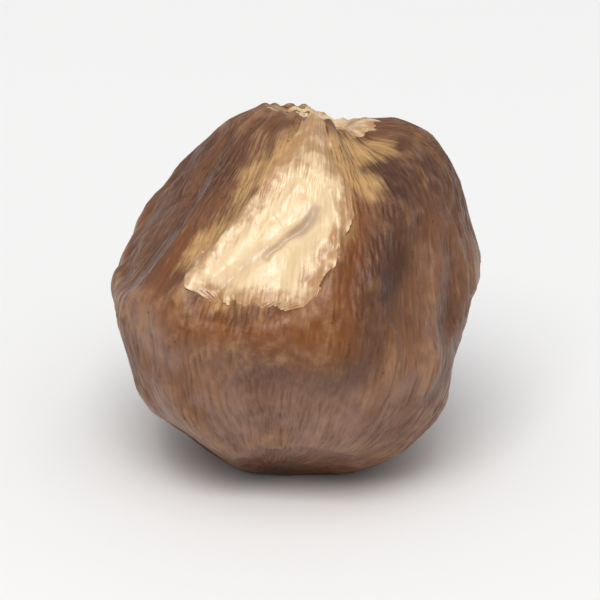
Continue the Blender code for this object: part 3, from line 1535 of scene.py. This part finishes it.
@dataclass
class CollarSkin(Skin):
    """The ragged ring of skin that is left round the scar.

    Attributes:
        start: where the ring begins in the pit, in degrees from the scar.
        border: where it ends on average.
        tatter: how ragged the border is.
        tears: the border's pattern, round the scar.
        nearest: the least that the border comes to.
        lobes: where it reaches further or less far.
    """

    name: str = "collar_skin"
    columns: int = 420
    rows: int = 60
    curl: float = 0.020
    closed: bool = True
    start: float = 11.0
    border: float = 17.5
    tatter: float = 7.5
    tears: Pattern = Pattern(3.3, 1.28, octaves=6, roughness=0.7)
    nearest: float = 12.0
    lobes: tuple[Lobe, ...] = (
        Lobe(150, 0.45, 7.0),
        Lobe(66, 0.70, 6.0),
        Lobe(-125, 1.30, -10.0),
        Lobe(-38, 0.75, -7.0),
    )

    def thin_share(self, angle: Array, inside: Array, lifted: Array) -> Array:
        """How far the coat's brown shows through: in most of the ring, least where it is lifted."""
        return 0.28 + 0.50 * super().thin_share(angle, inside, lifted) - 0.25 * lifted

    def spread(self, across: Array, along: Array) -> tuple[Array, Array, Array]:
        """Where the ring lies, from inside the pit to its ragged border.

        Args:
            across: the share of the way round the scar.
            along: the share of the way from the pit to the border.

        Returns:
            The turn round the scar and the angle from it, in radians, and how far the border is.
        """
        turn = across * FULL_TURN
        circle = np.stack((np.cos(turn), np.sin(turn), np.zeros(len(turn))), axis=1)
        border = self.border + self.tatter * self.tears.over(circle)
        for lobe in self.lobes:
            away = np.abs(np.angle(np.exp(1j * (turn - math.radians(lobe.middle)))))
            border += lobe.further * bump(away, lobe.half_width)
        border = np.maximum(border, self.nearest)
        angle = np.radians(self.start + (border - self.start) * along)
        return turn, angle, np.radians(border) - angle


@dataclass
class ScarCuff(Skin):
    """The stub of the seed's stalk: a torn tube of skin that stands in the scar's pit.

    Attributes:
        height: how far the tube stands up.
        radius: of the tube, in radians from the scar.
        root: how far it is sunk into the pit's floor.
        bulge: how uneven the tube is, as a share of its radius.
        flare: how much wider its rim is, as a share of its radius.
        bulges: the tube's pattern, round it and up.
        tears: the torn rim's pattern, round it.
    """

    name: str = "scar_cuff"
    columns: int = 150
    rows: int = 30
    closed: bool = True
    height: float = 0.130
    radius: float = 0.088
    root: float = 0.010
    bulge: float = 0.30
    flare: float = 0.25
    bulges: Pattern = Pattern(7.9, (1.8, 1.8, 0.7), octaves=4, roughness=0.6)
    tears: Pattern = Pattern(13.1, (2.88, 2.88, 0.0), octaves=5, roughness=0.7)

    def build(self) -> bpy.types.Object:
        """Make the stub.

        Returns:
            The stub, riding on the part's one body.
        """
        across, along = self.grid()
        turn = across * FULL_TURN
        tube = np.stack((np.cos(turn), np.sin(turn), along), axis=1)
        angle = self.radius * (1.0 + self.bulge * self.bulges.over(tube) + self.flare * along**2)
        ways, reach = self.coat.reach(turn, angle)
        floor = np.tile(reach[: self.columns], self.rows)
        torn = self.height * (0.75 + 0.45 * self.tears.over(tube))
        top = floor - self.root + torn * along
        inner = self.coat.body.ways(turn, angle - self.thickness * 1.4)
        values = {
            Mark.GRAIN: self.coat.lines.space(turn * 2, angle),
            # painted shade: the stub greyer towards its foot in the pit
            Mark.FOLD: 0.35 + 0.4 * along,
            Mark.RIM: 0.5 * (1.0 - along),
        }
        return self.shell(self.coat.body.place(ways, top), self.coat.body.place(inner, top), values)


@dataclass(frozen=True)
class Lamp:
    """A square soft light that faces the seed.

    Attributes:
        name: its name.
        at: where it is, in metres.
        side: its side, in metres.
        watts: its power.
        tint: its colour.
    """

    name: str
    at: Point
    side: float
    watts: float
    tint: Colour


@dataclass
class Studio:
    """The pale table, the soft light from the upper left and the camera at the photograph's viewing angle.

    Attributes:
        target: what the camera looks at, in metres.
        elevation: how far above the level the camera looks down from, in degrees.
        distance: from the camera to the target, in metres.
        sensor: the width of the camera's sensor, in millimetres.
        lens: the focal length, in millimetres.
        near: the nearest that the camera shows, in metres.
        far: the farthest that it shows, in metres.
        table_side: in metres.
        world_light: the strength of the even surround.
        lamps: the soft lights.
        finish: the table's finish.
    """

    target: Point = (0.00004, 0.0, 0.00170)
    elevation: float = 23.0
    distance: float = 0.225
    sensor: float = 36.0
    lens: float = 1300.0
    near: float = 0.01
    far: float = 2.0
    table_side: float = 1.2
    world_light: float = 0.48
    lamps: tuple[Lamp, ...] = (
        Lamp("key_light", (-0.014, -0.084, 0.122), 0.080, 0.108, (1.0, 0.985, 0.96)),
        Lamp("top_light", (0.000, -0.110, 0.280), 0.300, 0.280, (1.0, 1.0, 1.0)),
        Lamp("fill_light", (0.090, -0.110, 0.080), 0.120, 0.010, (0.97, 0.985, 1.0)),
    )
    finish: FloorFinish = FloorFinish()

    def table(self) -> bpy.types.Object:
        """The table that the seed stands on.

        Returns:
            The table.
        """
        half = self.table_side / 2
        corners = np.array(((-half, -half, 0), (half, -half, 0), (half, half, 0), (-half, half, 0)), float)
        table = new_mesh("table", corners, [(0, 1, 2, 3)], {}, self.finish.material())
        return table

    def world(self) -> bpy.types.World:
        """An even white surround.

        Returns:
            The scene's world.
        """
        world = bpy.data.worlds.new("white_surround")
        bpy.context.scene.world = world
        world.use_nodes = True
        sky = world.node_tree.nodes["Background"]
        sky.inputs["Color"].default_value = (1.0, 1.0, 1.0, 1.0)
        sky.inputs["Strength"].default_value = self.world_light
        return world

    def light(self, lamp: Lamp) -> bpy.types.Object:
        """Hang one lamp.

        Args:
            lamp: what it is.

        Returns:
            The light.
        """
        data = bpy.data.lights.new(lamp.name, "AREA")
        data.size, data.energy, data.color = lamp.side, lamp.watts, lamp.tint
        light = bpy.data.objects.new(lamp.name, data)
        light.location = lamp.at
        light.rotation_euler = (Vector(self.target) - Vector(lamp.at)).to_track_quat("-Z", "Y").to_euler()
        light.visible_camera = False
        bpy.context.scene.collection.objects.link(light)
        return light

    def camera(self) -> bpy.types.Object:
        """The camera, in front of the seed and above it.

        Returns:
            The camera, which the scene then looks through.
        """
        data = bpy.data.cameras.new("camera")
        data.lens, data.sensor_width = self.lens, self.sensor
        data.clip_start, data.clip_end = self.near, self.far
        camera = bpy.data.objects.new("camera", data)
        rise = math.radians(self.elevation)
        away = Vector((0.0, -math.cos(rise), math.sin(rise)))
        camera.location = Vector(self.target) + away * self.distance
        camera.rotation_euler = (-away).to_track_quat("-Z", "Y").to_euler()
        bpy.context.scene.collection.objects.link(camera)
        bpy.context.scene.camera = camera
        return camera

    def build(self) -> None:
        """Set up the table, the light and the camera."""
        bpy.context.scene.view_settings.view_transform = "Standard"
        self.table()
        self.world()
        for lamp in self.lamps:
            self.light(lamp)
        self.camera()


def main() -> None:
    """Build the seed's pieces in order, then the studio round them."""
    logging.basicConfig(level=logging.INFO, format="%(name)s: %(message)s")
    coat = Coat(SeedBody())
    for assembly in (coat, ShoulderSkin(coat), CollarSkin(coat), ScarCuff(coat)):
        piece = assembly.build()
        LOG.info("%s: %d vertices, %d faces", piece.name, len(piece.data.vertices), len(piece.data.polygons))
    Studio().build()


if __name__ == "__main__":
    main()
